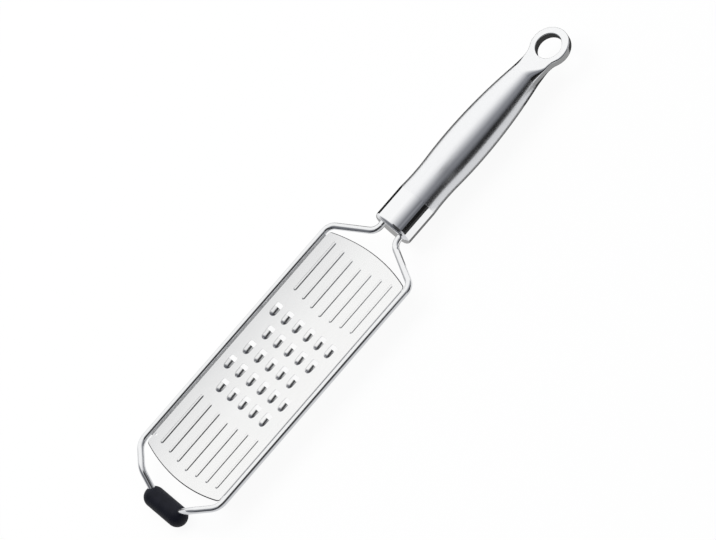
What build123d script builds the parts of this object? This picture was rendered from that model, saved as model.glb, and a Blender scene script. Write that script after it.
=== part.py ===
from build123d import *
import os
from math import asin, cos, degrees, radians, sin, sqrt

# Hand grater: a ribbed and toothed sheet welded into a bent wire frame, with a rubber foot on
# the frame's nose and a hollow round grip that ends in a hanging eye.
# Millimetres. X runs along the tool from the foot to the eye, Y across it and Z up.
# The origin lies under the middle of the tool, on the surface that the foot stands on.

# Whole tool
frame_reach = 231.1            # foot tip to the grip's front face
grip_reach = 168.9             # the grip's front face to the end of the eye
cut_overrun = 5.0              # how far every cutting tool runs past what it cuts
slip_gap = 0.05                # between a piece and the bore that it is pressed or welded into

# Frame wire
wire_diameter = 4.5
wire_spacing = 77.9            # between the axes of the two side runs
leg_spacing = 17.0             # between the axes of the two legs that enter the grip
leg_stub = 5.9                 # straight stretch of a leg in front of the grip, to its bend
shoulder_reach = 15.0          # length along the tool of the slope from a leg to a side run
nose_width_corner = 27.2       # foot tip to the corner where a side run turns inwards
nose_fold = 15.0               # foot tip to the line where the nose is folded down
crossbar_length = 15.9         # between the nose's two corners inside the foot
leg_bend = 8.0                 # bend radii along the wire's axis
shoulder_bend = 8.0
nose_bend = 12.0
fold_bend = 12.0
crossbar_bend = 6.0

# Rubber foot
foot_diameter = 14.2
foot_length = 36.6
foot_drop = 11.9               # its axis below the plane of the wire frame

# Grating sheet
sheet_thickness = 0.6
sheet_start = 24.1             # foot tip to the sheet's rounded foot end
sheet_gap = 18.2               # its rounded grip end to the grip's front face
sheet_trough_radius = 312.0    # the sheet is a shallow trough along the tool
sheet_sink = 2.0               # its middle below the plane of the wire frame
foot_end_radius = 105.0        # plan radius of its two ends
grip_end_radius = 116.0
corner_setback = 0.9           # the sheet's corners stand back from the welded edges
corner_radius = 2.5
flange_start = 11.4            # the foot end to the flanges along its sides
flange_setback = 8.8           # the flanges' other end to the grip end
flange_depth = 3.2             # below the sheet's surface
flange_bend = 1.2              # outer bend radius
keyhole_diameter = 2.0         # small tooling hole near one corner
keyhole_setback = 13.5         # its centre from the foot end
keyhole_reach = 34.2           # its centre from the middle line, along the trough's arc

# Embossed ribs, one group at each end of the sheet
rib_width = 2.3
rib_height = 0.6
rib_length = 41.0
rib_spacing = 9.05
rib_chevron = 1.25             # each rib starts this much further from the foot than its inner neighbour
rib_count = 7
foot_ribs_setback = 7.4        # middle rib of each group to the sheet's end beside it
grip_ribs_setback = 12.2
rib_nose_share = 2             # length of a rib's tapered end, in radii of its crown

# Grating teeth
tooth_width = 5.3
tooth_height = 2.1
tooth_length = 6.8
tooth_lean = 5.0               # degrees that a tooth rises towards its mouth
tooth_opening = 3.2            # length of the hole in front of a tooth's mouth
tooth_opening_width = 4.65
tooth_opening_corner = 0.9
tooth_column_spacing = 14.75
tooth_row_spacing = 10.52
tooth_start = 65.4             # the sheet's foot end to the first column's mouths
tooth_margin = 6.0             # least flat between the last column's holes and the ribs
tooth_counts = (5, 6, 5)       # teeth in each column, repeated along the sheet
tooth_first_shares = (-2, -8 / 3, -7 / 3)   # place of each column's first tooth, in row spacings
tooth_hollow_nose_share = 1.6  # length of the tapered end under a tooth, in radii of the hollow

# Polished cap at the front of the grip, and the plug that joins it to the shell
cap_length = 25.5
cap_radius = 14.0
cap_wall = 1.8
cap_rim = 2.8                  # rounding of its front edge
cap_front_thickness = 2.2
plug_reach = 10.0              # how far the plug runs to each side of the joint

# Grip shell
shell_wall = 1.2
grip_swell_radius = 13.85      # where the waist turns into the belly
grip_belly_radius = 14.65
grip_neck_radius = 10.3
grip_swell_share = 0.235       # stations along the shell, as shares of its length
grip_belly_share = 0.45

# Hanging eye
eye_radius = 13.5
eye_hole_radius = 9.0
eye_hole_offset = 0.55         # the hole's centre from the eye's centre, towards the grip
eye_thickness = 6.2
eye_edge_rounding = 1.2
eye_hole_chamfer = 0.7
eye_neck_length = 25.5         # the eye's centre to its joint with the shell
eye_neck_width = 19.8
eye_neck_fillet = 12.0
eye_flat_reach = 10.0          # length over which the round neck flattens
eye_flat_shares = (0.35, 0.68)       # where the two middle sections stand along that length
eye_depth_shares = (0.84, 0.49)      # their thickness, as shares of the neck's diameter
eye_width_shares = (0.975, 0.962)    # their width, as shares of the neck's diameter
eye_corner_shares = (0.92, 0.80)     # their corner radius, as shares of half their thickness
eye_spigot_length = 9.0

# Places that follow from the sizes
overall_length = frame_reach + grip_reach
tip_x = -overall_length / 2
grip_x = tip_x + frame_reach
eye_x = tip_x + overall_length - eye_radius
wire_radius = wire_diameter / 2
foot_radius = foot_diameter / 2
wire_z = foot_radius + foot_drop
foot_x = tip_x + foot_radius
sheet_x = tip_x + sheet_start
sheet_length = frame_reach - sheet_start - sheet_gap
flange_length = sheet_length - flange_start - flange_setback
sheet_z = wire_z - sheet_sink
trough_axis_z = sheet_z + sheet_trough_radius
flange_y = wire_spacing / 2 - wire_radius - slip_gap
sheet_half_width = flange_y - corner_setback
axis_line = Axis((0, 0, wire_z), (1, 0, 0))
grip_plane = Plane((grip_x, 0, wire_z), x_dir=(1, 0, 0), z_dir=(0, -1, 0))
leg_insert = cap_length + plug_reach
grip_bore_radius = cap_radius - cap_wall
grip_neck_reach = grip_reach - eye_radius - eye_neck_length
shell_length = grip_neck_reach - cap_length
grip_swell_reach = cap_length + grip_swell_share * shell_length
grip_belly_reach = cap_length + grip_belly_share * shell_length
neck_bore_radius = grip_neck_radius - shell_wall


def trough_place(distance_along, distance_across):
    """A place on the sheet's upper face, turned so that its Z stands square to the sheet."""
    lean = distance_across / sheet_trough_radius
    spot = (
        sheet_x + distance_along,
        sheet_trough_radius * sin(lean),
        trough_axis_z - sheet_trough_radius * cos(lean),
    )
    return Location(spot, (degrees(lean), 0, 0))


def wire_points(side):
    """Corners of the wire from inside the grip to the foot, on the side given by +1 or -1."""
    side_y = wire_spacing / 2
    leg_y = leg_spacing / 2
    crossbar_y = crossbar_length / 2
    fold_x = tip_x + nose_fold
    fold_run = sqrt((fold_x - foot_x) ** 2 + foot_drop**2)
    slope = (side_y - crossbar_y) / (nose_width_corner - nose_fold + fold_run)
    fold_y = crossbar_y + fold_run * slope
    corners = (
        (grip_x + leg_insert, leg_y, wire_z),
        (grip_x - leg_stub, leg_y, wire_z),
        (grip_x - leg_stub - shoulder_reach, side_y, wire_z),
        (tip_x + nose_width_corner, side_y, wire_z),
        (fold_x, fold_y, wire_z),
        (foot_x, crossbar_y, wire_z - foot_drop),
    )
    return [(x, side * y, z) for x, y, z in corners]


def wire_solid(radius):
    """The whole bent wire, or the room that it needs when the radius has a gap added."""
    bends = [leg_bend, shoulder_bend, nose_bend, fold_bend, crossbar_bend]
    corners = wire_points(1) + wire_points(-1)[::-1]
    with BuildPart() as wire:
        with BuildLine() as wire_axis:
            FilletPolyline(*corners, radius=bends + bends[::-1])
        with BuildSketch(Plane(origin=wire_axis.line @ 0, z_dir=wire_axis.line % 0)):
            Circle(radius)
        sweep()
    return wire.part


with BuildPart() as frame_wire:
    add(wire_solid(wire_radius))


with BuildPart() as foot:
    with BuildSketch(Plane.XY.offset(wire_z - foot_drop)):
        with Locations((foot_x, 0)):
            SlotOverall(foot_length, foot_diameter, rotation=90)
        with Locations((foot_x + foot_radius, 0)):
            Rectangle(foot_diameter, foot_length, mode=Mode.SUBTRACT)
    revolve(axis=Axis((foot_x, 0, wire_z - foot_drop), (0, 1, 0)))
    add(wire_solid(wire_radius + slip_gap), mode=Mode.SUBTRACT)


def leaning_plane(lean):
    """A plane through the origin whose X leans up by an angle in degrees."""
    tilt = radians(lean)
    return Plane((0, 0, 0), x_dir=(cos(tilt), 0, sin(tilt)), z_dir=(-sin(tilt), 0, cos(tilt)))


def round_rod(radius, reach, lean, overrun):
    """A rod with one round end that leans up to the origin and runs on past it."""
    rod_plane = leaning_plane(lean)
    with BuildPart() as rod:
        with BuildSketch(rod_plane):
            with BuildLine():
                rod_middle = Line((-reach, 0), (overrun, 0))
                rod_mouth = Line(rod_middle @ 1, (overrun, radius))
                rod_side = Line(rod_mouth @ 1, (radius - reach, radius))
                RadiusArc(rod_side @ 1, rod_middle @ 0, -radius)
            make_face()
        revolve(axis=Axis(rod_plane.origin, rod_plane.x_dir))
    return rod.part


def tapered_rod(radius, reach, nose_share, lean, overrun):
    """The same rod with a conical nose for its round end."""
    rod_plane = leaning_plane(lean)
    shank = reach - radius
    with BuildPart() as rod:
        with BuildSketch(rod_plane):
            with BuildLine():
                Polyline(
                    (-shank - nose_share * radius, 0),
                    (-shank, radius),
                    (overrun, radius),
                    (overrun, 0),
                    close=True,
                )
            make_face()
        revolve(axis=Axis(rod_plane.origin, rod_plane.x_dir))
    return rod.part


def spindle(radius, length, nose_share):
    """A rod along X with a conical nose at each end."""
    shank = length / 2 - radius
    with BuildPart() as rod:
        with BuildSketch(Plane.XZ):
            with BuildLine():
                Polyline(
                    (-shank - nose_share * radius, 0),
                    (-shank, radius),
                    (shank, radius),
                    (shank + nose_share * radius, 0),
                    close=True,
                )
            make_face()
        revolve(axis=Axis.X)
    return rod.part


def crown_radius(width, height):
    """Radius of the arc that has this width where it leaves a flat face, and this height."""
    return (width**2 / 4 + height**2) / (2 * height)


tooth_radius = crown_radius(tooth_width, tooth_height)
tooth_axis_depth = tooth_radius - tooth_height
rib_radius = crown_radius(rib_width, rib_height)
rib_axis_depth = rib_radius - rib_height

with BuildPart() as tooth_bump:
    with Locations((0, 0, -tooth_axis_depth)):
        add(round_rod(tooth_radius, tooth_length, tooth_lean, cut_overrun))
    split(bisect_by=Plane.YZ, keep=Keep.BOTTOM)
    split(bisect_by=Plane.XY.offset(-sheet_thickness / 2), keep=Keep.TOP)

hollow_radius = tooth_radius - sheet_thickness
hollow_reach = tooth_length - sheet_thickness
with BuildPart() as tooth_hollow:
    with Locations((0, 0, -tooth_axis_depth)):
        add(tapered_rod(hollow_radius, hollow_reach, tooth_hollow_nose_share, tooth_lean, tooth_opening / 2))
    with BuildSketch(Plane.XY.offset(-cut_overrun)):
        with Locations((tooth_opening / 2, 0)):
            Rectangle(tooth_opening, tooth_opening_width)
        fillet(vertices().group_by(Axis.X)[-1], tooth_opening_corner)
    extrude(amount=2 * cut_overrun)

with BuildPart() as rib_bump:
    with Locations((rib_length / 2, 0, -rib_axis_depth)):
        add(spindle(rib_radius, rib_length, rib_nose_share))
    split(bisect_by=Plane.XY.offset(-sheet_thickness / 2), keep=Keep.TOP)

with BuildPart() as rib_groove:
    with Locations((rib_length / 2, 0, -rib_axis_depth)):
        add(spindle(rib_radius - sheet_thickness, rib_length - 2 * sheet_thickness, rib_nose_share))

grip_ribs_start = sheet_length - grip_ribs_setback - rib_length
last_mouth = grip_ribs_start - tooth_margin - tooth_opening
column_count = 1 + int((last_mouth - tooth_start) / tooth_column_spacing)
tooth_pattern = list(zip(tooth_counts, tooth_first_shares))
tooth_columns = [tooth_pattern[column % len(tooth_pattern)] for column in range(column_count)]
tooth_places = [
    trough_place(
        tooth_start + column * tooth_column_spacing,
        -(first + row) * tooth_row_spacing,
    )
    for column, (count, first) in enumerate(tooth_columns)
    for row in range(count)
]
rib_places = [
    trough_place(start + abs(step) * rib_chevron, step * rib_spacing)
    for start in (foot_ribs_setback, grip_ribs_start)
    for step in range(-(rib_count // 2), rib_count // 2 + 1)
]

flange_top_z = trough_axis_z - sheet_trough_radius * cos(asin(flange_y / sheet_trough_radius))
flange_low_z = flange_top_z - flange_depth
flange_foot_z = flange_low_z - cut_overrun
past_flanges = 2 * (flange_y + cut_overrun)

with BuildPart() as grating_sheet:
    # The trough with its flanges, along the whole sheet
    with BuildSketch(Plane.YZ.offset(sheet_x)):
        with BuildLine():
            crown = ThreePointArc((-flange_y, flange_top_z), (0, sheet_z), (flange_y, flange_top_z))
            Polyline(crown @ 1, (flange_y, flange_foot_z), (-flange_y, flange_foot_z), crown @ 0)
        make_face()
        fillet(vertices().group_by(Axis.Z)[-1], flange_bend)
        offset(amount=-sheet_thickness, mode=Mode.SUBTRACT)
        with Locations((0, flange_low_z)):
            below = (Align.CENTER, Align.MAX)
            Rectangle(past_flanges, 2 * cut_overrun, align=below, mode=Mode.SUBTRACT)
    extrude(amount=sheet_length)
    # Its plan outline, which leaves the flanges on the stretch that is welded to the side wires
    with BuildSketch(Plane.XY.offset(wire_z - foot_drop)):
        with Locations((sheet_x + sheet_length / 2, 0)):
            Rectangle(sheet_length, 2 * sheet_half_width)
        with Locations((sheet_x + foot_end_radius, 0)):
            Circle(foot_end_radius, mode=Mode.INTERSECT)
        with Locations((sheet_x + sheet_length - grip_end_radius, 0)):
            Circle(grip_end_radius, mode=Mode.INTERSECT)
        fillet(vertices(), corner_radius)
        with Locations((sheet_x + flange_start + flange_length / 2, 0)):
            Rectangle(flange_length, past_flanges)
    extrude(amount=2 * foot_drop, mode=Mode.INTERSECT)
    # Ribs and teeth are pressed up out of the sheet
    with Locations(*rib_places):
        add(rib_bump.part)
    with Locations(*tooth_places):
        add(tooth_bump.part)
    with Locations(*rib_places):
        add(rib_groove.part, mode=Mode.SUBTRACT)
    with Locations(*tooth_places):
        add(tooth_hollow.part, mode=Mode.SUBTRACT)
    with Locations(trough_place(keyhole_setback, keyhole_reach)):
        Cylinder(keyhole_diameter / 2, 2 * cut_overrun, mode=Mode.SUBTRACT)


with BuildPart() as front_cap:
    with BuildSketch(Plane.YZ.offset(grip_x)):
        with Locations((0, wire_z)):
            Circle(cap_radius)
    extrude(amount=cap_length)
    fillet(edges().group_by(Axis.X)[0], cap_rim)
    with BuildSketch(Plane.YZ.offset(grip_x + cap_front_thickness)):
        with Locations((0, wire_z)):
            Circle(grip_bore_radius)
    extrude(amount=cap_length, mode=Mode.SUBTRACT)
    with BuildSketch(Plane.YZ.offset(grip_x)):
        with Locations((leg_spacing / 2, wire_z), (-leg_spacing / 2, wire_z)):
            Circle(wire_radius + slip_gap)
    extrude(amount=cap_length, mode=Mode.SUBTRACT)

with BuildPart() as wire_anchor:
    with BuildSketch(Plane.YZ.offset(grip_x + cap_length - plug_reach)):
        with Locations((0, wire_z)):
            Circle(grip_bore_radius - slip_gap)
        with Locations((leg_spacing / 2, wire_z), (-leg_spacing / 2, wire_z)):
            Circle(wire_radius + slip_gap, mode=Mode.SUBTRACT)
    extrude(amount=2 * plug_reach)


with BuildPart() as grip_shell:
    with BuildSketch(grip_plane):
        with BuildLine():
            front_edge = Line((cap_length, 0), (cap_length, cap_radius))
            belly_top = (grip_belly_reach, grip_belly_radius)
            rear_half = TangentArc(belly_top, (grip_neck_reach, grip_neck_radius), tangent=(1, 0))
            front_half = TangentArc(belly_top, (grip_swell_reach, grip_swell_radius), tangent=(-1, 0))
            TangentArc(front_half @ 1, front_edge @ 1, tangent=front_half % 1)
            Polyline(rear_half @ 1, (grip_neck_reach, 0), front_edge @ 0)
        make_face()
    revolve(axis=axis_line)
    with BuildSketch(grip_plane):
        with BuildLine():
            spigot_stop = rear_half @ (1 - eye_spigot_length / (grip_neck_reach - grip_belly_reach))
            Polyline(
                (cap_length, 0),
                (cap_length, grip_bore_radius),
                (grip_swell_reach, grip_bore_radius),
                (grip_belly_reach, grip_belly_radius - shell_wall),
                (spigot_stop.X, spigot_stop.Y - shell_wall),
                (spigot_stop.X, neck_bore_radius),
                (grip_neck_reach, neck_bore_radius),
                (grip_neck_reach, 0),
                close=True,
            )
        make_face()
    revolve(axis=axis_line, mode=Mode.SUBTRACT)


neck_x = grip_x + grip_neck_reach
flat_x = neck_x + eye_flat_reach
neck_diameter = 2 * grip_neck_radius

with BuildPart() as hanging_eye:
    with BuildSketch(Plane.XY.offset(wire_z - eye_thickness / 2)):
        with Locations((eye_x, 0)):
            Circle(eye_radius)
        with Locations((flat_x, 0)):
            Rectangle(eye_x - flat_x, eye_neck_width, align=(Align.MIN, Align.CENTER))
        neck_corners = vertices().filter_by_position(Axis.X, flat_x + eye_edge_rounding, eye_x)
        fillet(neck_corners, eye_neck_fillet)
        with Locations((eye_x - eye_hole_offset, 0)):
            Circle(eye_hole_radius, mode=Mode.SUBTRACT)
    extrude(amount=eye_thickness)
    hole_edges = edges().filter_by(GeomType.CIRCLE).filter_by(lambda edge: edge.is_closed)
    chamfer(hole_edges, eye_hole_chamfer)
    rim_edges = [
        edge
        for face in faces().filter_by(Axis.Z)
        for edge in face.outer_wire().edges()
        if edge.center().X > flat_x + slip_gap
    ]
    fillet(rim_edges, eye_edge_rounding)
    # The round neck flattens into the eye
    with BuildSketch(Plane.YZ.offset(neck_x)):
        with Locations((0, wire_z)):
            RectangleRounded(neck_diameter, neck_diameter, grip_neck_radius - slip_gap)
    for along, depth, width, corner in zip(
        eye_flat_shares, eye_depth_shares, eye_width_shares, eye_corner_shares
    ):
        with BuildSketch(Plane.YZ.offset(neck_x + along * eye_flat_reach)):
            with Locations((0, wire_z)):
                RectangleRounded(
                    width * neck_diameter, depth * neck_diameter, corner * depth * grip_neck_radius
                )
    with BuildSketch(Plane.YZ.offset(flat_x)):
        with Locations((0, wire_z)):
            RectangleRounded(eye_neck_width, eye_thickness, eye_edge_rounding)
    loft()
    with BuildSketch(Plane.YZ.offset(neck_x)):
        with Locations((0, wire_z)):
            Circle(neck_bore_radius - slip_gap)
    extrude(amount=-eye_spigot_length)


pieces = {
    "frame_wire": frame_wire,
    "foot": foot,
    "grating_sheet": grating_sheet,
    "front_cap": front_cap,
    "wire_anchor": wire_anchor,
    "grip_shell": grip_shell,
    "hanging_eye": hanging_eye,
}
os.makedirs("parts", exist_ok=True)
for name, piece in pieces.items():
    piece.part.label = name
    export_step(piece.part, f"parts/{name}.step")
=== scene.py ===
import math
import bmesh
import bpy
import numpy as np
from mathutils import Matrix, Vector


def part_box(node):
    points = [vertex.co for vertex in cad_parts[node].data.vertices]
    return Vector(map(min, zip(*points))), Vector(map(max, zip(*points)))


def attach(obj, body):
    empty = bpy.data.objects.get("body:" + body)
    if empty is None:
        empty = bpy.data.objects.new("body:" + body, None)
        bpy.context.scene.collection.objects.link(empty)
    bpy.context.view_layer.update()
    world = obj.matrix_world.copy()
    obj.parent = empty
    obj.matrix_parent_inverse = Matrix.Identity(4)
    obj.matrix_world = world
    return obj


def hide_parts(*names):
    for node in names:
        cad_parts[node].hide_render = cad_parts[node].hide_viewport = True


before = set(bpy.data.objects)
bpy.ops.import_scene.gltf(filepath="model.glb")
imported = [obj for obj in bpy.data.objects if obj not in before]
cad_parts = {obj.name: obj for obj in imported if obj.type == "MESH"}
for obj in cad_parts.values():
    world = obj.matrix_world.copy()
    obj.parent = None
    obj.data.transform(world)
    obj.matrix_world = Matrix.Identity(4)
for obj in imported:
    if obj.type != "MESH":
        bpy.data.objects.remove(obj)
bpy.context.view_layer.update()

# Looks of a hand grater: polished wire frame, satin grating sheet, rubber foot, mirror-polished
# cap, satin grip and hanging eye. Metres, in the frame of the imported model: X runs along the
# tool from the foot to the eye, Y across it and Z up.

MM = 0.001

# Places read from the frame
foot_low, foot_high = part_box("foot")
cap_low, cap_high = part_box("front_cap")
shell_low, shell_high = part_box("grip_shell")
_, eye_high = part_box("hanging_eye")
sheet_low, sheet_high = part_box("grating_sheet")
_, wire_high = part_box("frame_wire")

tip_x = foot_low.x
grip_x = cap_low.x
axis_z = (cap_low.z + cap_high.z) / 2
foot_radius = (foot_high.z - foot_low.z) / 2
foot_length = foot_high.y - foot_low.y
foot_x = tip_x + foot_radius
foot_z = (foot_low.z + foot_high.z) / 2
cap_radius = (cap_high.y - cap_low.y) / 2
cap_length = cap_high.x - cap_low.x

# Frame wire
wire_radius = 2.25 * MM
side_y = wire_high.y - wire_radius
leg_y = 8.5 * MM
leg_stub = 5.9 * MM
leg_insert = 35.5 * MM
shoulder_reach = 15.0 * MM
nose_width_corner = 27.2 * MM
nose_fold = 15.0 * MM
crossbar_y = 7.95 * MM
wire_bends = (8 * MM, 8 * MM, 12 * MM, 12 * MM, 6 * MM)
bend_turn_step = math.radians(4)
wire_sides = 48
wire_sharp_angle = 50

# Rubber foot
foot_sides = 96
foot_arc_steps = 24
foot_arc_end = 89
foot_sharp_angle = 60

# Grating sheet
sheet_x = sheet_low.x
sheet_length = sheet_high.x - sheet_low.x
sheet_thickness = 0.6 * MM
trough_radius = 312 * MM
sheet_sink = 2.0 * MM
flange_y = sheet_high.y
flange_bend = 1.2 * MM
flange_depth = 3.2 * MM
flange_start = 11.4 * MM
flange_end = 180.0 * MM
edge_round = 0.59 * MM
edge_steps = (0, 0.1, 0.25, 0.5, 0.75, 1)
foot_end_radius = 105 * MM
grip_end_radius = 116 * MM
corner_radius = 2.5 * MM
keyhole_radius = 1.0 * MM
keyhole_along = 13.5 * MM
keyhole_across = 34.2 * MM
sheet_sharp_angle = 35

# Lines of the sheet's mesh
widest_gap = 2.6 * MM
run_gap = 3 * MM
form_gap = 0.42 * MM
keyhole_gap = 0.34 * MM
before_keyhole_gap = 0.37 * MM
foot_end_rows = 32
grip_end_rows = 12
flange_bend_rows = 6
row_tolerance = 0.01 * MM
gap_tolerance = 1e-6
line_decimals = 9
rib_lead = 0.2 * MM
rib_edge_lines = (32.4 * MM, 35.4 * MM)
tooth_edge_lines = (33.0 * MM, 34.5 * MM)
rib_cross_mm = (0, 0.3, 0.6, 0.85, 1.0, 1.1, 1.2, 1.3, 1.45)
tooth_cross_mm = (0, 0.5, 1.0, 1.45, 1.8, 2.1, 2.32, 2.48, 2.59, 2.7, 2.79, 2.88, 3.1)
behind_mm = (0, 1, 2, 3, 4.08, 4.7, 5.25, 5.7, 6.05, 6.3, 6.5, 6.65, 6.8, 6.95, 7.2)
before_mm = (0.15, 0.4, 0.9, 1.6, 2.3, 2.6, 2.85, 3.05, 3.2)

# Ribs
rib_radius = 1.4 * MM
rib_height = 0.6 * MM
rib_fillet = 0.35 * MM
rib_length = 41 * MM
rib_spacing = 9.05 * MM
rib_chevron = 1.25 * MM
rib_steps = range(-3, 4)
rib_starts = (7.4 * MM, 135.6 * MM)

# Teeth
tooth_radius = 2.72 * MM
tooth_height = 2.1 * MM
tooth_fillet = 0.3 * MM
tooth_length = 6.8 * MM
tooth_lean = math.radians(5)
tooth_lip = 0.4 * MM
tooth_opening = 3.2 * MM
tooth_opening_half_width = 2.7 * MM
tooth_opening_corner = 0.9 * MM
tooth_column_spacing = 14.75 * MM
tooth_row_spacing = 10.52 * MM
tooth_start = 65.4 * MM
tooth_columns = (5, 6, 5, 5, 6)
tooth_first_shares = (-2, -8 / 3, -7 / 3, -2, -8 / 3)

# Polished cap, with the two holes that the wire's legs go through
cap_rim = 2.8 * MM
cap_rim_steps = 20
cap_bore = 12.2 * MM
cap_front = 2.2 * MM
cap_middle = 0.5 * MM
wire_hole_radius = wire_radius + 0.05 * MM
wire_hole_flare = 1.2 * MM
wire_hole_flare_depth = 0.2 * MM
drill_reach = 1 * MM
drill_sides = 64

# Grip, whose sides and broken edges the cap shares, and whose sharp angle cap and eye share
turned_sides = 192
edge_break = 0.04 * MM
grip_sharp_angle = 40
shell_wall = 1.2 * MM
swell_radius = 13.85 * MM
belly_radius = (shell_high.z - shell_low.z) / 2
swell_share = 0.235
belly_share = 0.45
waist_steps = 30
front_steps = 20
rear_steps = 50

# Hanging eye
eye_radius = 13.5 * MM
eye_half_thickness = 3.1 * MM
eye_hole_radius = 9.0 * MM
eye_hole_offset = 0.55 * MM
eye_hole_rounding = 0.7 * MM
eye_rounding = 1.2 * MM
neck_radius = 10.3 * MM
neck_slope = -0.11
neck_half_width = 9.9 * MM
neck_fillet = 12 * MM
neck_flat_reach = 13 * MM
neck_rounding_power = 2.3
least_rim = 0.02 * MM
outline_steps = 24
outline_rays = 84
neck_rays = 22
neck_steps = 60
ray_steps = 34
ray_samples = 300
ray_paces = (1.2, 0.5)
on_neck_tolerance = 1e-9
eye_x = eye_high.x - eye_radius
neck_x = shell_high.x

# Materials. Most noise lies between low and high, dark levels are a little bluer by the powers,
# and the sheet's painted shade goes by Y: darker in its -Y bend and towards its +Y side.
noise_low, noise_high = 0.3, 0.7
level_powers = (1.05, 1.03, 0.97)
steel_patch_scale = 60
steel_patch_detail = 2.0
rubber_tones = ((0.003, 0.004, 0.009), (0.006, 0.007, 0.014))
rubber_patch_scale = 160
rubber_grain_scale = 2600
rubber_grain_detail = 4.0
rubber_grain_depth = 0.03 * MM
rubber_grain_strength = 0.6
rubber_roughness = (0.5, 0.62)
rubber_specular = 0.22
# Painted shade on the sheet by Y: a dark crease in the -Y bend, and darker towards +Y.
sheet_painted_shade = (
    (-0.0368, 0.3), (-0.0358, 0.34), (-0.0352, 1.0), (0.0, 0.98), (0.018, 0.92), (0.036, 0.84))

# Studio. The tent's levels go by the angle in degrees from straight up towards the viewer, and
# by the direction's X. The table's painted reflection, which only metal sees, goes by Y.
tent_levels = (
    (-180, 1.0), (-6, 1.0), (9, 0.86), (20, 0.68), (30, 0.52), (41, 0.34), (50, 0.2), (59, 0.27),
    (67, 0.15), (73, 0.13), (77, 0.3), (82, 0.6), (180, 0.6))
tent_end_levels = ((-1.0, 0.14), (-0.6, 0.25), (-0.22, 1.0), (1.0, 1.0))
# Painted reflection of the table, darker towards the front where it stands in for shade.
table_painted_reflection = ((-0.32, 0.6), (-0.06, 0.68), (0.04, 0.75), (0.2, 0.85), (0.6, 0.95))
table_front, table_back, table_side = -0.32, 1.6, 1.6
table_colour = (0.95, 0.95, 0.95, 1)
table_white_share = 0.93
card_lift = 0.5 * MM
lamp_place = (-0.2, 0.5, 1.3)
lamp_size = 0.9
lamp_power = 10

# Camera, fitted to the photograph
view_aim = (-1.5 * MM, -0.57 * MM, 19.0 * MM)
view_distance = 2399.5 * MM
view_azimuth = math.radians(-9.557)
view_elevation = math.radians(54.921)
view_roll = math.radians(-41.19)
view_lens = 191.17
view_sensor = 36
view_reach = 20


def add_piece(name, points, faces, sharp_angle, paint, slot, *nodes):
    """Makes a smooth-shaded mesh piece that rides on the body and stands for the named nodes."""
    mesh = bpy.data.meshes.new(name)
    mesh.from_pydata([tuple(p) for p in points], [], faces)
    mesh.validate()
    piece = bpy.data.objects.new(name, mesh)
    bpy.context.scene.collection.objects.link(piece)
    finish_piece(piece, sharp_angle, paint, slot, *nodes)
    return piece


def finish_piece(piece, sharp_angle, paint, slot, *nodes):
    """Faces outwards, smooth shading with sharp edges, a material and a place in the frame."""
    mesh = piece.data
    work = bmesh.new()
    work.from_mesh(mesh)
    bmesh.ops.recalc_face_normals(work, faces=work.faces)
    work.to_mesh(mesh)
    work.free()
    mesh.shade_smooth()
    mesh.set_sharp_from_angle(angle=math.radians(sharp_angle))
    mesh.materials.clear()
    mesh.materials.append(paint)
    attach(piece, "root")
    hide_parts(*nodes)


def apply_modifiers(piece):
    """Replaces the piece's mesh with the result of its modifiers."""
    graph = bpy.context.evaluated_depsgraph_get()
    mesh = bpy.data.meshes.new_from_object(piece.evaluated_get(graph))
    piece.modifiers.clear()
    piece.data = mesh


def rounded_path(corners, radii):
    """Points of a path whose inner corners are rounded to the given radii."""
    corners = [Vector(c) for c in corners]
    path = [corners[0]]
    for before, corner, after, radius in zip(corners, corners[1:], corners[2:], radii):
        back = (before - corner).normalized()
        on = (after - corner).normalized()
        turn = math.pi - back.angle(on)
        centre = corner + (back + on).normalized() * radius / math.cos(turn / 2)
        start = corner + back * radius * math.tan(turn / 2)
        axis = back.cross(on).normalized()
        steps = max(2, round(turn / bend_turn_step))
        for step in range(steps + 1):
            spin = Matrix.Rotation(-turn * step / steps, 3, axis)
            path.append(centre + spin @ (start - centre))
    path.append(corners[-1])
    return path


def tube(path, radius, sides):
    """Points and faces of a closed round tube along a path, without twist."""
    points, faces = [], []
    side = Vector((0, 0, 1))
    for index, spot in enumerate(path):
        before = path[max(index - 1, 0)]
        after = path[min(index + 1, len(path) - 1)]
        ahead = (after - spot).normalized() + (spot - before).normalized()
        ahead.normalize()
        side = (side - ahead * side.dot(ahead)).normalized()
        other = ahead.cross(side)
        for k in range(sides):
            angle = math.tau * k / sides
            points.append(spot + radius * (math.cos(angle) * side + math.sin(angle) * other))
    for ring in range(len(path) - 1):
        for k in range(sides):
            here, there = ring * sides, (ring + 1) * sides
            faces.append((here + k, here + (k + 1) % sides, there + (k + 1) % sides, there + k))
    last = (len(path) - 1) * sides
    faces.append(tuple(range(sides))[::-1])
    faces.append(tuple(range(last, last + sides)))
    return points, faces


def lathe(profile, centre, along, steps, closed):
    """Points and faces of a turned form. The profile's points are (along, radius)."""
    points, faces = [], []
    axis = Vector(along).normalized()
    up = Vector((0, 0, 1))
    across = axis.cross(up)
    count = len(profile)
    for k in range(steps):
        angle = math.tau * k / steps
        spoke = math.cos(angle) * up + math.sin(angle) * across
        points += [centre + axis * distance + spoke * radius for distance, radius in profile]
    rows = count if closed else count - 1
    for k in range(steps):
        here, there = k * count, (k + 1) % steps * count
        for row in range(rows):
            ahead = (row + 1) % count
            faces.append((here + row, here + ahead, there + ahead, there + row))
    if not closed:
        faces.append(tuple(k * count for k in range(steps)))
        faces.append(tuple(k * count + count - 1 for k in range(steps))[::-1])
    return points, faces


def arc(centre, radius, start, end, steps):
    """Points (along, radius) of an arc, with its angles in degrees."""
    angles = [math.radians(start + (end - start) * k / steps) for k in range(steps + 1)]
    return [(centre[0] + radius * math.cos(a), centre[1] + radius * math.sin(a)) for a in angles]


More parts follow.
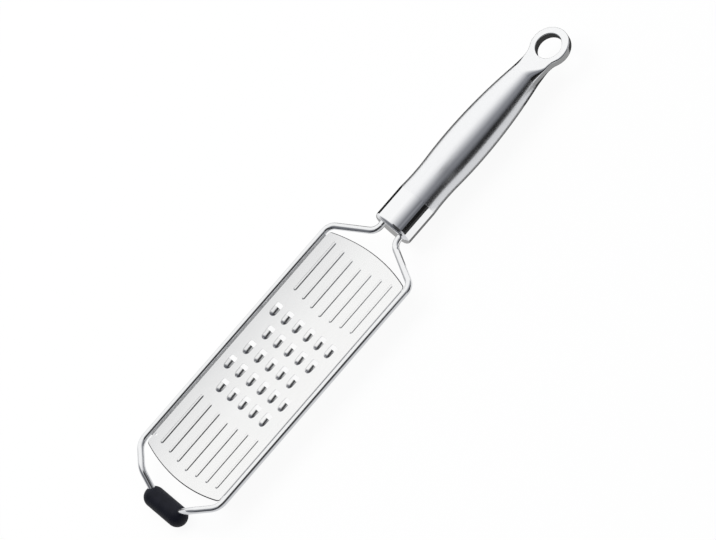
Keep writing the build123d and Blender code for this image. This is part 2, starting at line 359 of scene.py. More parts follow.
def tangent_arc(start, ahead, end, steps):
    """Points of an arc that leaves start in the direction ahead, and the direction at its end."""
    start, ahead, chord = Vector(start), Vector(ahead).normalized(), Vector(end) - Vector(start)
    square = Vector((-ahead.y, ahead.x))
    radius = chord.length_squared / (2 * chord.dot(square))
    centre = start + square * radius
    sweep = 2 * math.atan2(chord.dot(square), chord.dot(ahead))
    turns = [Matrix.Rotation(sweep * k / steps, 2) for k in range(steps + 1)]
    return [tuple(centre + turn @ (start - centre)) for turn in turns], turns[-1] @ ahead


def smooth_line(stations, end_slopes, steps):
    """A curve of even curvature through the stations, with the given slopes at its ends."""
    x = np.array([s[0] for s in stations])
    y = np.array([s[1] for s in stations])
    gap = np.diff(x)
    rise = np.diff(y) / gap
    count = len(x)
    rows, sums = np.eye(count), np.zeros(count)
    sums[0], sums[-1] = end_slopes
    for i in range(1, count - 1):
        rows[i, i - 1] = 1 / gap[i - 1]
        rows[i, i] = 2 / gap[i - 1] + 2 / gap[i]
        rows[i, i + 1] = 1 / gap[i]
        sums[i] = 3 * (rise[i - 1] / gap[i - 1] + rise[i] / gap[i])
    slope = np.linalg.solve(rows, sums)
    at = np.linspace(x[0], x[-1], steps + 1)
    i = np.clip(np.searchsorted(x, at, side="right") - 1, 0, count - 2)
    t = (at - x[i]) / gap[i]
    level = (1 + 2 * t) * (1 - t) ** 2 * y[i] + t**2 * (3 - 2 * t) * y[i + 1]
    level += gap[i] * (t * (1 - t) ** 2 * slope[i] - t**2 * (1 - t) * slope[i + 1])
    return list(zip(at, level))


# Materials

def new_material(name):
    """A node material with its tree and its shader."""
    paint = bpy.data.materials.new(name)
    paint.use_nodes = True
    tree = paint.node_tree
    return paint, tree, tree.nodes["Principled BSDF"]


def node(tree, kind, **values):
    """A node with its settings and its inputs' values given by name."""
    made = tree.nodes.new(kind)
    for name, value in values.items():
        if name.startswith("in_"):
            made.inputs[name[3:].replace("_", " ")].default_value = value
        else:
            setattr(made, name, value)
    return made


def link(tree, *pairs):
    """Joins each pair's output to its input."""
    for source, target in pairs:
        tree.links.new(source, target)


def stretched_noise(tree, stretch, scale, detail=3.0):
    """Noise in the piece's own place, with stretch giving the grain's direction."""
    place = node(tree, "ShaderNodeTexCoord")
    turn = node(tree, "ShaderNodeMapping", in_Scale=stretch)
    noise = node(tree, "ShaderNodeTexNoise", in_Scale=scale, in_Detail=detail)
    link(tree, (place.outputs["Object"], turn.inputs["Vector"]),
         (turn.outputs["Vector"], noise.inputs["Vector"]))
    return noise.outputs["Fac"]


def ranged(tree, noise, low, high):
    """The noise spread from low to high."""
    spread = node(tree, "ShaderNodeMapRange", in_From_Min=noise_low, in_From_Max=noise_high,
                  in_To_Min=low, in_To_Max=high)
    link(tree, (noise, spread.inputs["Value"]))
    return spread.outputs["Result"]


def two_tones(tree, noise, first, second):
    """A colour that goes from one tone to another with the noise."""
    ramp = node(tree, "ShaderNodeValToRGB")
    stops = ramp.color_ramp.elements
    for stop, place, tone in zip(stops, (noise_low, noise_high), (first, second)):
        stop.position = place
        stop.color = (*tone, 1)
    link(tree, (noise, ramp.inputs["Fac"]))
    return ramp.outputs["Color"]


def raise_grain(tree, shader, noise, strength, depth):
    """Gives the surface the noise as relief."""
    bump = node(tree, "ShaderNodeBump", in_Strength=strength, in_Distance=depth)
    link(tree, (noise, bump.inputs["Height"]), (bump.outputs["Normal"], shader.inputs["Normal"]))


def level_ramp(tree, levels):
    """Levels at rising places, a little bluer where dark: sockets for the place and the level."""
    first, last = levels[0][0], levels[-1][0]
    share = node(tree, "ShaderNodeMapRange", in_From_Min=first, in_From_Max=last)
    ramp = node(tree, "ShaderNodeValToRGB")
    stops = ramp.color_ramp.elements
    for place, _ in levels[1:-1]:
        stops.new((place - first) / (last - first))
    for stop, (_, level) in zip(stops, levels):
        stop.color = (*(level**power for power in level_powers), 1)
    link(tree, (share.outputs["Result"], ramp.inputs["Fac"]))
    return {"place": share.inputs["Value"], "level": ramp.outputs["Color"]}


def metal(name, tone, tone_swing, roughness, roughness_swing, grain, grain_depth, painted_shade=None):
    """Steel: fine grain in tone and relief, patches in its gloss, maybe painted shade by Y."""
    paint, tree, shader = new_material(name)
    shader.inputs["Metallic"].default_value = 1.0
    noise = stretched_noise(tree, grain, 1.0)
    patches = stretched_noise(tree, (1, 1, 1), steel_patch_scale, steel_patch_detail)
    darker = [t - tone_swing for t in tone]
    lighter = [min(t + tone_swing, 1) for t in tone]
    colour = two_tones(tree, noise, darker, lighter)
    # Painted shade: the colour is darkened by Y.
    if painted_shade:
        place = node(tree, "ShaderNodeTexCoord")
        split = node(tree, "ShaderNodeSeparateXYZ")
        across = level_ramp(tree, painted_shade)
        shaded_colour = node(tree, "ShaderNodeVectorMath", operation="MULTIPLY")
        link(tree, (place.outputs["Object"], split.inputs[0]),
             (split.outputs["Y"], across["place"]),
             (across["level"], shaded_colour.inputs[0]), (colour, shaded_colour.inputs[1]))
        colour = shaded_colour.outputs[0]
    gloss = ranged(tree, patches, roughness - roughness_swing, roughness + roughness_swing)
    link(tree, (colour, shader.inputs["Base Color"]), (gloss, shader.inputs["Roughness"]))
    raise_grain(tree, shader, noise, 1.0, grain_depth)
    return paint


def rubber(name):
    """Matte blue-black rubber with a fine moulded texture."""
    paint, tree, shader = new_material(name)
    noise = stretched_noise(tree, (1, 1, 1), rubber_grain_scale, rubber_grain_detail)
    patches = stretched_noise(tree, (1, 1, 1), rubber_patch_scale)
    link(tree, (two_tones(tree, patches, *rubber_tones), shader.inputs["Base Color"]),
         (ranged(tree, noise, *rubber_roughness), shader.inputs["Roughness"]))
    shader.inputs["Specular IOR Level"].default_value = rubber_specular
    raise_grain(tree, shader, noise, rubber_grain_strength, rubber_grain_depth)
    return paint


chrome_wire = metal(
    "wire_steel", tone=(0.88, 0.885, 0.89), tone_swing=0.01, roughness=0.10,
    roughness_swing=0.03, grain=(60, 900, 900), grain_depth=0.004 * MM)
mirror_steel = metal(
    "cap_steel", tone=(0.93, 0.935, 0.94), tone_swing=0.005, roughness=0.045,
    roughness_swing=0.01, grain=(80, 900, 900), grain_depth=0.0005 * MM)
sheet_steel = metal(
    "sheet_steel", tone=(0.92, 0.92, 0.915), tone_swing=0.015, roughness=0.22,
    roughness_swing=0.03, grain=(120, 2400, 2400), grain_depth=0.003 * MM, painted_shade=sheet_painted_shade)
# Near-black painted reflection for the rounded rims of the sheet's two ends.
edge_painted_reflection = metal(
    "edge_painted_reflection", tone=(0.08, 0.08, 0.085), tone_swing=0.02, roughness=0.3,
    roughness_swing=0.05, grain=(900, 900, 300), grain_depth=0.005 * MM)
satin_steel = metal(
    "grip_steel", tone=(0.92, 0.925, 0.935), tone_swing=0.015, roughness=0.25,
    roughness_swing=0.02, grain=(60, 2600, 2600), grain_depth=0.003 * MM)
eye_steel = metal(
    "eye_steel", tone=(0.92, 0.925, 0.93), tone_swing=0.01, roughness=0.1,
    roughness_swing=0.015, grain=(200, 1500, 1500), grain_depth=0.001 * MM)
plug_steel = metal(
    "plug_steel", tone=(0.6, 0.61, 0.62), tone_swing=0.03, roughness=0.35,
    roughness_swing=0.05, grain=(2000, 300, 300), grain_depth=0.01 * MM)
foot_rubber = rubber("foot_rubber")


# Frame wire

def wire_corners(side):
    """Corners of the wire from inside the grip to the foot, on the side given by +1 or -1."""
    fold_x = tip_x + nose_fold
    fold_run = math.hypot(fold_x - foot_x, axis_z - foot_z)
    slope = (side_y - crossbar_y) / (nose_width_corner - nose_fold + fold_run)
    fold_y = crossbar_y + fold_run * slope
    corners = (
        (grip_x + leg_insert, leg_y, axis_z),
        (grip_x - leg_stub, leg_y, axis_z),
        (grip_x - leg_stub - shoulder_reach, side_y, axis_z),
        (tip_x + nose_width_corner, side_y, axis_z),
        (fold_x, fold_y, axis_z),
        (foot_x, crossbar_y, foot_z),
    )
    return [(x, side * y, z) for x, y, z in corners]


wire_path = rounded_path(wire_corners(1) + wire_corners(-1)[::-1], wire_bends + wire_bends[::-1])
add_piece(
    "bent_wire", *tube(wire_path, wire_radius, wire_sides), wire_sharp_angle, chrome_wire,
    "frame_wire", "frame_wire")


# Rubber foot

foot_half = foot_length / 2
foot_ends = [foot_radius - foot_half, foot_half - foot_radius]
foot_profile = arc((foot_ends[0], 0), foot_radius, 90 + foot_arc_end, 90, foot_arc_steps)
foot_profile += arc((foot_ends[1], 0), foot_radius, 90, 90 - foot_arc_end, foot_arc_steps)
add_piece(
    "rubber_foot",
    *lathe(foot_profile, Vector((foot_x, 0, foot_z)), (0, 1, 0), foot_sides, False),
    foot_sharp_angle, foot_rubber, "foot_rubber", "foot")


# Grating sheet

trough_axis_z = axis_z - sheet_sink + trough_radius
bend_lean = math.asin((flange_y - flange_bend) / trough_radius)
flat_reach = bend_lean * trough_radius
bend_reach = flange_bend * (math.pi / 2 + bend_lean)
rib_depth = rib_radius - rib_height
tooth_depth = tooth_radius - tooth_height


def sheet_point(along, across, lift):
    """A point of the sheet's upper face: across is measured on the face, past its bends too."""
    side = math.copysign(1, across)
    reach = abs(across)
    lean = min(reach, flat_reach) / trough_radius
    height = trough_radius - lift
    y, z = height * math.sin(lean), trough_axis_z - height * math.cos(lean)
    if reach > flat_reach:
        turn = min((reach - flat_reach) / flange_bend, math.pi / 2 + bend_lean)
        y += flange_bend * (math.sin(bend_lean) - math.sin(bend_lean - turn))
        z += flange_bend * (math.cos(bend_lean - turn) - math.cos(bend_lean))
        z -= max(reach - flat_reach - bend_reach, 0)
    return Vector((sheet_x + along, side * y, z))


def pressed_height(off_axis, radius, depth, fillet):
    """Height of a pressed round form over the sheet, with a fillet all round its base."""
    base = math.sqrt((radius + fillet) ** 2 - (depth + fillet) ** 2)
    touch = base * radius / (radius + fillet)
    if off_axis < touch:
        return math.sqrt(radius**2 - off_axis**2) - depth
    if off_axis < base:
        return fillet - math.sqrt(fillet**2 - (base - off_axis) ** 2)
    return 0.0


def rib_lift(along, across):
    """Height of the ribs at a place on the sheet."""
    step = round(across / rib_spacing)
    if step not in rib_steps:
        return 0.0
    highest = 0.0
    for start in rib_starts:
        first = start + abs(step) * rib_chevron + rib_radius
        last = start + abs(step) * rib_chevron + rib_length - rib_radius
        past = max(first - along, along - last, 0)
        off_axis = math.hypot(across - step * rib_spacing, past)
        highest = max(highest, pressed_height(off_axis, rib_radius, rib_depth, rib_fillet))
    return highest


def tooth_centres(column):
    """Places of one column's teeth across the sheet."""
    first = tooth_first_shares[column]
    return [-(first + row) * tooth_row_spacing for row in range(tooth_columns[column])]


def tooth_lift(behind, across, centres):
    """Height of a column's teeth at a distance behind their mouths."""
    centre = min(centres, key=lambda c: abs(c - across))
    depth = tooth_depth + max(behind, 0) * math.tan(tooth_lean)
    past = max(behind - (tooth_length - tooth_radius), 0)
    height = pressed_height(math.hypot(across - centre, past), tooth_radius, depth, tooth_fillet)
    return height * max(0, 1 + min(behind, 0) / tooth_lip) ** 2


def even(start, end, most):
    """Evenly spaced places from start to end, no further apart than most."""
    count = max(1, math.ceil((end - start) / most - gap_tolerance))
    return [start + (end - start) * k / count for k in range(count + 1)]


def filled(lines, most):
    """Sorted lines with more between them where they stand too far apart."""
    ordered = sorted(set(round(v, line_decimals) for v in lines))
    result = [ordered[0]]
    for a, b in zip(ordered, ordered[1:]):
        result += even(a, b, most)[1:]
    return result


def mirrored(lines):
    return [-v for v in lines] + list(lines)


flange_lines = [
    flat_reach + bend_reach * k / flange_bend_rows for k in range(1, flange_bend_rows + 1)]
flange_lines.append(flat_reach + bend_reach + flange_depth - flange_bend)
keyhole_lines = even(keyhole_across - keyhole_radius, keyhole_across + keyhole_radius, keyhole_gap)
edge_lines = [*keyhole_lines, *rib_edge_lines, flat_reach]
rib_lines = mirrored([v * MM for v in rib_cross_mm])
tooth_lines = mirrored([v * MM for v in tooth_cross_mm])


def outline_start(across, end_radius):
    """How far the sheet's rounded end stands back at a place across, with its corner rounding."""
    reach = abs(across)
    middle = flat_reach - corner_radius
    inner = end_radius - corner_radius
    back = end_radius - math.sqrt(inner**2 - middle**2)
    if reach <= middle * end_radius / inner:
        return end_radius - math.sqrt(end_radius**2 - reach**2)
    return back - math.sqrt(max(corner_radius**2 - (reach - middle) ** 2, 0))


def edge_drop(inwards):
    """How far the rounded rim of the sheet's two ends lies below its face."""
    short = max(edge_round - max(inwards, 0), 0)
    return edge_round - math.sqrt(edge_round**2 - short**2)


def rib_rows():
    """Rows of the two ribbed stretches: how far along at each place across, and if flanged."""
    lines = filled(
        mirrored(edge_lines) + [s * rib_spacing + v for s in rib_steps for v in rib_lines],
        widest_gap)
    rib_end_reach = rib_steps[-1] * rib_chevron + 2 * rib_radius
    foot_edge = [outline_start(c, foot_end_radius) for c in lines]
    ends = [([edge + step * edge_round for edge in foot_edge], False) for step in edge_steps]
    for share in even(0, 1, 1 / foot_end_rows)[1:-1]:
        ends.append(([(edge + edge_round) * (1 - share) + share * flange_start
                      for edge in foot_edge], False))
    places = even(flange_start, keyhole_along - keyhole_radius, before_keyhole_gap)
    places += even(places[-1], keyhole_along + keyhole_radius, keyhole_gap)[1:]
    tail = rib_starts[0] + rib_length - rib_radius
    places += even(places[-1], tail, run_gap)[1:]
    places += even(tail, tail + rib_end_reach, form_gap)[1:]
    foot_part = ends + [([a] * len(lines), True) for a in places]
    head = rib_starts[1] - rib_lead
    places = even(head, head + rib_end_reach, form_gap)
    tail = rib_starts[1] + rib_length - rib_radius
    places += even(places[-1], tail, run_gap)[1:]
    places += even(tail, flange_end, form_gap)[1:]
    grip_part = [([a] * len(lines), True) for a in places]
    grip_edge = [sheet_length - outline_start(c, grip_end_radius) for c in lines]
    for share in even(0, 1, 1 / grip_end_rows)[1:-1]:
        grip_part.append(([(edge - edge_round) * share + (1 - share) * flange_end
                           for edge in grip_edge], False))
    for step in edge_steps[::-1]:
        grip_part.append(([edge - step * edge_round for edge in grip_edge], False))
    return lines, foot_part, grip_part


def build_sheet():
    """The upper face as rows of points, zipped together, then given its thickness."""
    points, faces = [], []
    rows = []

    def add_row(lines, alongs, flanged, lift_at, shift=None):
        inner = []
        for along, across in zip(alongs, lines):
            if shift:
                along, across = shift(along, across)
            points.append(sheet_point(along, across, lift_at(along, across)))
            inner.append(len(points) - 1)
        wings = []
        if flanged:
            for side, along in ((-1, alongs[0]), (1, alongs[-1])):
                wing = [inner[0] if side < 0 else inner[-1]]
                for across in flange_lines:
                    points.append(sheet_point(along, side * across, 0))
                    wing.append(len(points) - 1)
                wings.append(wing)
        rows.append({"lines": lines, "alongs": alongs, "inner": inner, "wings": wings})

    def join(a, b, is_open):
        """Faces between two rows, leaving out the holes."""
        for wing_a, wing_b in zip(a["wings"], b["wings"]):
            for k in range(len(wing_a) - 1):
                faces.append((wing_a[k], wing_a[k + 1], wing_b[k + 1], wing_b[k]))
        if a["lines"] is b["lines"]:
            near, far = a["inner"], b["inner"]
            for k in range(len(a["lines"]) - 1):
                across = (a["lines"][k] + a["lines"][k + 1]) / 2
                along = (a["alongs"][k] + b["alongs"][k]) / 2
                if not is_open(along, across):
                    faces.append((near[k], near[k + 1], far[k + 1], far[k]))
            return
        i = j = 0
        while i < len(a["inner"]) - 1 or j < len(b["inner"]) - 1:
            move_a = j == len(b["inner"]) - 1 or (
                i < len(a["inner"]) - 1 and a["lines"][i + 1] <= b["lines"][j + 1])
            if move_a:
                faces.append((a["inner"][i], a["inner"][i + 1], b["inner"][j]))
                i += 1
            else:
                faces.append((a["inner"][i], b["inner"][j + 1], b["inner"][j]))
                j += 1

    def keyhole_shift(along, across):
        """Moves the edge of the square round the small hole onto its circle."""
        off = np.array((along - keyhole_along, across - keyhole_across))
        if abs(np.abs(off).max() - keyhole_radius) < row_tolerance:
            off *= keyhole_radius / np.hypot(*off)
        return keyhole_along + off[0], keyhole_across + off[1]

    def in_keyhole(along, across):
        return (abs(along - keyhole_along) < keyhole_radius
                and abs(across - keyhole_across) < keyhole_radius)

    def never(along, across):
        return False

    def foot_lift(along, across):
        return rib_lift(along, across) - edge_drop(along - outline_start(across, foot_end_radius))

    def grip_lift(along, across):
        inwards = sheet_length - outline_start(across, grip_end_radius) - along
        return rib_lift(along, across) - (edge_drop(inwards) if along > flange_end else 0)

    rib_line_set, foot_part, grip_part = rib_rows()
    for alongs, flanged in foot_part:
        add_row(rib_line_set, alongs, flanged, rib_lift if flanged else foot_lift, keyhole_shift)
        if len(rows) > 1:
            join(rows[-2], rows[-1], in_keyhole)

    for column in range(len(tooth_columns)):
        mouth = tooth_start + column * tooth_column_spacing
        centres = tooth_centres(column)
        lines = filled(
            mirrored([*tooth_edge_lines, flat_reach])
            + [c + v for c in centres for v in tooth_lines],
            widest_gap)

        def lift(along, across):
            return tooth_lift(mouth - along, across, centres)

        def opening_shift(along, across):
            """Rounds the two far corners of each hole."""
            centre = min(centres, key=lambda c: abs(c - across))
            ahead, off = along - mouth, across - centre
            corner_ahead = tooth_opening - tooth_opening_corner
            corner_off = tooth_opening_half_width - tooth_opening_corner
            past = np.array((ahead - corner_ahead, abs(off) - corner_off))
            on_edge = (abs(ahead - tooth_opening) < row_tolerance
                       or abs(abs(off) - tooth_opening_half_width) < row_tolerance)
            within = past.min() > 0 and past.max() < tooth_opening_corner + row_tolerance
            if on_edge and within:
                past *= tooth_opening_corner / np.hypot(*past)
                off = math.copysign(corner_off + past[1], off)
                return mouth + corner_ahead + past[0], centre + off
            return along, across

        def in_opening(along, across):
            centre = min(centres, key=lambda c: abs(c - across))
            return (0 < along - mouth < tooth_opening
                    and abs(across - centre) < tooth_opening_half_width)

        places = [mouth - v * MM for v in reversed(behind_mm)]
        places += [mouth + v * MM for v in before_mm]
        for along in places:
            add_row(lines, [along] * len(lines), True, lift, opening_shift)
            join(rows[-2], rows[-1], in_opening)

    for alongs, flanged in grip_part:
        add_row(rib_line_set, alongs, flanged, rib_lift if flanged else grip_lift)
        join(rows[-2], rows[-1], never)

    used = sorted({v for face in faces for v in face})
    renamed = {v: k for k, v in enumerate(used)}
    return [points[v] for v in used], [tuple(renamed[v] for v in face) for face in faces]


sheet = add_piece(
    "toothed_sheet", *build_sheet(), sheet_sharp_angle, sheet_steel, "sheet_steel",
    "grating_sheet")
thicken = sheet.modifiers.new("thickness", "SOLIDIFY")
thicken.thickness = sheet_thickness
thicken.offset = -1
apply_modifiers(sheet)
finish_piece(sheet, sheet_sharp_angle, sheet_steel, "sheet_steel")
# The faces at the sheet's two rounded ends take the near-black painted reflection.
sheet.data.materials.append(edge_painted_reflection)
for face in sheet.data.polygons:
    from_foot = face.center.x - sheet_x - outline_start(face.center.y, foot_end_radius)
    from_grip = sheet_high.x - face.center.x - outline_start(face.center.y, grip_end_radius)
    face.material_index = int(min(from_foot, from_grip) < edge_round)


# Polished cap

cap_profile = [(0, cap_middle)]
cap_profile += arc((cap_rim, cap_radius - cap_rim), cap_rim, 180, 90, cap_rim_steps)
cap_profile += [(cap_length - edge_break, cap_radius), (cap_length, cap_radius - edge_break)]
cap_profile += [(cap_length, cap_bore), (cap_front, cap_bore), (cap_front, cap_middle)]
cap = add_piece(
    "polished_cap",
    *lathe(cap_profile, Vector((grip_x, 0, axis_z)), (1, 0, 0), turned_sides, False),
    grip_sharp_angle, mirror_steel, "polished_steel", "front_cap")
drill_profile = [
    (-drill_reach, wire_hole_radius + wire_hole_flare), (wire_hole_flare_depth, wire_hole_radius),
    (2 * cap_front, wire_hole_radius)]
for side in (1, -1):
    drill_mesh = bpy.data.meshes.new("drill")
    drill_points, drill_faces = lathe(
        drill_profile, Vector((grip_x, side * leg_y, axis_z)), (1, 0, 0), drill_sides, False)
    drill_mesh.from_pydata(drill_points, [], drill_faces)
    drill = bpy.data.objects.new("drill", drill_mesh)
    bpy.context.scene.collection.objects.link(drill)
    bored = cap.modifiers.new("wire_hole", "BOOLEAN")
    bored.object = drill
    bored.solver = "EXACT"
    apply_modifiers(cap)
    bpy.data.objects.remove(drill)
finish_piece(cap, grip_sharp_angle, mirror_steel, "polished_steel")


# Grip shell

shell_length = shell_high.x - shell_low.x
swell = (cap_length + swell_share * shell_length, swell_radius)
belly = (cap_length + belly_share * shell_length, belly_radius)
rear_half, _ = tangent_arc(belly, (1, 0), (cap_length + shell_length, neck_radius), rear_steps)
front_half, to_waist = tangent_arc(belly, (-1, 0), swell, front_steps)
waist, _ = tangent_arc(swell, to_waist, (cap_length, cap_radius), waist_steps)
shell_outside = waist[::-1] + front_half[-2::-1] + rear_half[1:]
shell_inside = [(x, r - shell_wall) for x, r in shell_outside]
shell_profile = [(shell_outside[0][0], shell_outside[0][1] - edge_break)]
shell_profile += [(shell_outside[0][0] + edge_break, shell_outside[0][1]), *shell_outside[1:]]
shell_profile += shell_inside[::-1]
add_piece(
    "satin_grip",
    *lathe(shell_profile, Vector((grip_x, 0, axis_z)), (1, 0, 0), turned_sides, True),
    grip_sharp_angle, satin_steel, "satin_steel", "grip_shell")


# Hanging eye

def eye_outline(steps):
    """The upper half of the eye's plan, from the neck to its far end, about the eye's centre."""
    from_neck = eye_x - neck_x
    fillet_x = -math.sqrt((eye_radius + neck_fillet) ** 2 - (neck_half_width + neck_fillet) ** 2)
    taper = smooth_line(
        ((-from_neck, neck_radius), (fillet_x, neck_half_width)), (neck_slope, 0), steps)
    turn = math.degrees(math.atan2(neck_half_width + neck_fillet, -fillet_x))
    fillet = arc((fillet_x, neck_half_width + neck_fillet), neck_fillet, -90, -turn, steps)
    ring = arc((0, 0), eye_radius, 180 - turn, 0, 4 * steps)
    return taper + fillet[1:] + ring[1:]


def nearest(points, line):
    """Least distance of each point from a polyline."""
    a, b = line[:-1], line[1:]
    run = b - a
    off = points[:, None, :] - a
    share = np.clip((off * run).sum(-1) / (run * run).sum(-1), 0, 1)
    return np.hypot(*np.moveaxis(off - share[..., None] * run, -1, 0)).min(1)


def build_eye():
    """The eye as rays that run from the hole's edge to the outline, over and under."""
    line = np.array(eye_outline(outline_steps))
    from_neck = eye_x - neck_x
    spread = np.linspace(0, math.pi / 2, neck_rays)[:-1]
    ends = [(-from_neck, neck_radius * math.sin(a)) for a in spread]
    lengths = np.concatenate(([0], np.cumsum(np.hypot(*np.diff(line, axis=0).T))))
    at = np.linspace(0, lengths[-1], outline_rays)
    ends += list(zip(np.interp(at, lengths, line[:, 0]), np.interp(at, lengths, line[:, 1])))
    ends = np.array(ends + [(x, -y) for x, y in ends[-2:0:-1]])
    both = np.concatenate((line, line[-2::-1] * (1, -1)))
    hole = np.array((-eye_hole_offset, 0))
    neck_line = smooth_line(
        ((0, neck_radius), (neck_flat_reach, eye_half_thickness)), (neck_slope, 0), neck_steps)
    neck_at, neck_half = np.array(neck_line).T

    def shape_at(points):
        """Half thickness, edge rounding and the way in from the outline at plan points."""
        along = points[:, 0] + from_neck
        half = np.interp(along, neck_at, neck_half)
        flattened = np.clip(along / neck_flat_reach, 0, 1) ** neck_rounding_power
        share = 1 - (1 - eye_rounding / eye_half_thickness) * flattened
        rounding = np.minimum(half * share, half - least_rim)
        inwards = np.minimum(nearest(points, both), rounding)
        return half, rounding, inwards

    straight_pace, hole_pace = ray_paces
    top = []
    for end in ends:
        way = end - hole
        length = np.hypot(*way)
        way = way / length
        fine = np.linspace(eye_hole_radius, length, ray_samples)
        spots = hole + fine[:, None] * way
        half, rounding, inwards = shape_at(spots)
        outer_turn = np.arccos(1 - inwards / rounding)
        from_hole = np.minimum(fine - eye_hole_radius, eye_hole_rounding)
        hole_turn = np.arccos(1 - from_hole / eye_hole_rounding)
        pace = (fine - eye_hole_radius) / (length - eye_hole_radius) * straight_pace
        pace += 1 - np.maximum.accumulate(outer_turn[::-1])[::-1] / (math.pi / 2)
        pace += hole_pace * hole_turn / (math.pi / 2)
        picked = np.interp(np.linspace(pace[0], pace[-1], ray_steps), pace, fine)
        spots = hole + picked[:, None] * way
        half, rounding, inwards = shape_at(spots)
        level = half - rounding + np.sqrt(rounding**2 - (rounding - inwards) ** 2)
        from_hole = np.minimum(picked - eye_hole_radius, eye_hole_rounding)
        level -= eye_hole_rounding - np.sqrt(
            eye_hole_rounding**2 - (eye_hole_rounding - from_hole) ** 2)
        top.append(np.column_stack((spots, level)))
    top = np.array(top)
    rays = len(ends)
    points = [(eye_x + x, y, axis_z + z) for x, y, z in top.reshape(-1, 3)]
    points += [(eye_x + x, y, axis_z - z) for x, y, z in top.reshape(-1, 3)]
    under = rays * ray_steps
    neck_end = on_neck_tolerance - from_neck
    faces = []
    for ray in range(rays):
        other = (ray + 1) % rays
        here, there = ray * ray_steps, other * ray_steps
        for k in range(ray_steps - 1):
            faces.append((here + k, here + k + 1, there + k + 1, there + k))
            faces.append((under + here + k, under + there + k,
                          under + there + k + 1, under + here + k + 1))
        faces.append((here, there, under + there, under + here))
        if max(ends[ray][0], ends[other][0]) >= neck_end:
            last = ray_steps - 1
            faces.append((here + last, under + here + last, under + there + last, there + last))
    neck = [ray * ray_steps + ray_steps - 1 for ray in range(rays) if ends[ray][0] < neck_end]
    neck.sort(key=lambda v: points[v][1])
    faces.append(tuple(neck + [under + v for v in reversed(neck)]))
    return points, faces


add_piece(
    "eye_ring", *build_eye(), grip_sharp_angle, eye_steel, "satin_steel", "hanging_eye")
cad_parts["wire_anchor"].data.materials.clear()
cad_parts["wire_anchor"].data.materials.append(plug_steel)


# Studio

def world_light():
    """A light tent: white overhead and behind, darker at the viewer's side and past the foot."""
    world = bpy.data.worlds.new("tent")
    bpy.context.scene.world = world
    world.use_nodes = True
    tree = world.node_tree
    tree.nodes.clear()
    place = node(tree, "ShaderNodeTexCoord")
    split = node(tree, "ShaderNodeSeparateXYZ")
    front = node(tree, "ShaderNodeMath", operation="MULTIPLY")
    front.inputs[1].default_value = -1
    angle = node(tree, "ShaderNodeMath", operation="ARCTAN2")
    ramp = level_ramp(tree, [(math.radians(angle), level) for angle, level in tent_levels])
    end_ramp = level_ramp(tree, tent_end_levels)
    both = node(tree, "ShaderNodeVectorMath", operation="MULTIPLY")
    seen = node(tree, "ShaderNodeLightPath")
    tent = node(tree, "ShaderNodeBackground")
    white = node(tree, "ShaderNodeBackground", in_Color=(1, 1, 1, 1))
    mix = node(tree, "ShaderNodeMixShader")
    out = node(tree, "ShaderNodeOutputWorld")
    link(
        tree, (place.outputs["Generated"], split.inputs[0]),
        (split.outputs["Y"], front.inputs[0]), (front.outputs[0], angle.inputs[0]),
        (split.outputs["Z"], angle.inputs[1]), (angle.outputs[0], ramp["place"]),
        (split.outputs["X"], end_ramp["place"]), (ramp["level"], both.inputs[0]),
        (end_ramp["level"], both.inputs[1]), (both.outputs[0], tent.inputs["Color"]),
        (seen.outputs["Is Camera Ray"], mix.inputs["Fac"]), (tent.outputs[0], mix.inputs[1]),
        (white.outputs[0], mix.inputs[2]), (mix.outputs[0], out.inputs["Surface"]))


def table_material():
    """White table with the tool's soft shadow; metal sees a painted reflection, darker in front.
    """
    paint, tree, shader = new_material("white_table")
    tree.nodes.remove(shader)
    matte = node(tree, "ShaderNodeBsdfDiffuse", in_Color=table_colour)
    white = node(tree, "ShaderNodeEmission", in_Color=(1, 1, 1, 1), in_Strength=1.0)
    # Painted reflection: only glossy rays see this glow, its level by Y darker towards the front.
    glow = node(tree, "ShaderNodeEmission", in_Strength=1.0)
    place = node(tree, "ShaderNodeTexCoord")
    split = node(tree, "ShaderNodeSeparateXYZ")
    ramp = level_ramp(tree, table_painted_reflection)
    seen = node(tree, "ShaderNodeLightPath")
    either = node(tree, "ShaderNodeMath", operation="MAXIMUM")
    part = node(tree, "ShaderNodeMath", operation="MULTIPLY")
    part.inputs[1].default_value = table_white_share
    shown = node(tree, "ShaderNodeMixShader")
    mix = node(tree, "ShaderNodeMixShader")
    link(
        tree, (place.outputs["Object"], split.inputs[0]), (split.outputs["Y"], ramp["place"]),
        (ramp["level"], glow.inputs["Color"]), (seen.outputs["Is Camera Ray"], either.inputs[0]),
        (seen.outputs["Is Transmission Ray"], either.inputs[1]),
        (either.outputs[0], part.inputs[0]), (part.outputs[0], shown.inputs["Fac"]),
        (matte.outputs[0], shown.inputs[1]), (white.outputs[0], shown.inputs[2]),
        (seen.outputs["Is Glossy Ray"], mix.inputs["Fac"]), (shown.outputs[0], mix.inputs[1]),
        (glow.outputs[0], mix.inputs[2]),
        (mix.outputs[0], tree.nodes["Material Output"].inputs["Surface"]))
    return paint


def add_flat(name, corners, paint):
    """A flat piece of the studio."""
    mesh = bpy.data.meshes.new(name)
    mesh.from_pydata(corners, [], [(0, 1, 2, 3)])
    mesh.materials.append(paint)
    flat = bpy.data.objects.new(name, mesh)
    bpy.context.scene.collection.objects.link(flat)
    return flat


def lying(x_low, x_high, y_low, y_high, drift=0.0, height=card_lift):
    """Corners of a flat that lies, whose far end is shifted along X by the drift."""
    return [(x_low, y_low, height), (x_high, y_low, height),
            (x_high + drift, y_high, height), (x_low + drift, y_high, height)]


def standing(x_low, x_high, y, z_low, z_high):
    """Corners of a flat that stands across the front."""
    return [(x_low, y, z_low), (x_high, y, z_low), (x_high, y, z_high), (x_low, y, z_high)]
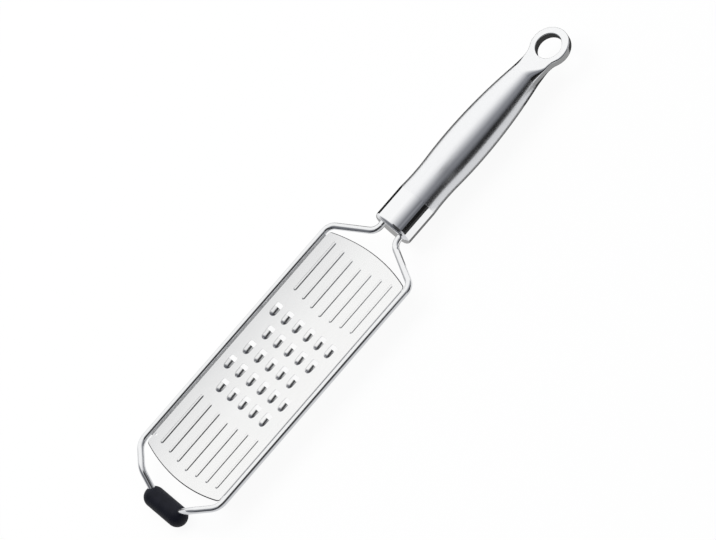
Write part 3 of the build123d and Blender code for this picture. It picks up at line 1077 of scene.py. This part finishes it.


# Painted reflections: cards that only the metal sees. Those lying under and behind the tool
# are painted shadow on the table. Name, level and corners
painted_reflection_cards = (
    ("card_under_cap", 0.36, lying(0.018, 0.0325, -0.0185, 0.05)),
    ("card_under_grip", 0.16, lying(0.0325, 0.15, -0.0185, 0.03)),
    ("card_under_eye", 0.04, lying(0.15, 0.235, -0.0185, 0.03)),
    ("card_behind_cap", 0.012, lying(0.0335, 0.0657, 0.03, 0.4, 0.035)),
    ("card_behind_grip", 0.08, lying(0.0657, 0.165, 0.03, 0.25, 0.02)),
    ("card_behind_eye", 0.012, lying(0.165, 0.235, 0.03, 0.25, 0.02)),
    ("card_before_grip", 0.04, lying(0.034, 0.45, -0.32, -0.08)),
    ("card_before_cap", 0.95, lying(0.03, 0.0625, -0.08, -0.0185)),
    ("card_before_eye", 0.3, lying(0.165, 0.23, -0.05, -0.0185)),
    ("flag_before_grip", 0.01, standing(0.055, 0.45, -0.32, 0, 0.11)),
    ("flag_before_frame", 0.05, standing(-0.4, 0.05, -0.3, 0.14, 0.94)),
)


def add_painted_reflection_card(name, level, corners):
    """A plain card of one level that only the metal sees: a painted reflection."""
    paint, tree, shader = new_material(name)
    tree.nodes.remove(shader)
    glow = node(tree, "ShaderNodeEmission", in_Color=(1, 1, 1, 1), in_Strength=level)
    link(tree, (glow.outputs[0], tree.nodes["Material Output"].inputs["Surface"]))
    card = add_flat(name, corners, paint)
    card.visible_camera = False
    card.visible_diffuse = False
    card.visible_transmission = False
    card.visible_shadow = False


def add_lamp():
    """One large soft lamp over the table's far side."""
    light = bpy.data.lights.new("softbox", "AREA")
    light.size = lamp_size
    light.energy = lamp_power
    lamp = bpy.data.objects.new("softbox", light)
    lamp.location = lamp_place
    lamp.rotation_euler = (-lamp.location).to_track_quat("-Z", "Y").to_euler()
    lamp.visible_glossy = False
    bpy.context.scene.collection.objects.link(lamp)


def add_camera():
    """The photograph's view: aim, distance, direction and roll."""
    back = Vector((
        math.sin(view_azimuth) * math.cos(view_elevation),
        -math.cos(view_azimuth) * math.cos(view_elevation),
        math.sin(view_elevation),
    ))
    lens = bpy.data.cameras.new("view")
    lens.lens = view_lens
    lens.sensor_width = view_sensor
    lens.sensor_fit = "HORIZONTAL"
    lens.clip_end = view_reach
    camera = bpy.data.objects.new("view", lens)
    turn = (-back).to_track_quat("-Z", "Y").to_matrix() @ Matrix.Rotation(view_roll, 3, "Z")
    camera.matrix_world = Matrix.Translation(
        Vector(view_aim) + back * view_distance) @ turn.to_4x4()
    bpy.context.scene.collection.objects.link(camera)
    bpy.context.scene.camera = camera


world_light()
table_ends = lying(-table_side, table_side, table_front, table_back, height=0)
add_flat("table", table_ends, table_material())
for name, level, corners in painted_reflection_cards:
    add_painted_reflection_card(name, level, corners)
add_lamp()
add_camera()
bpy.context.scene.view_settings.view_transform = "Standard"
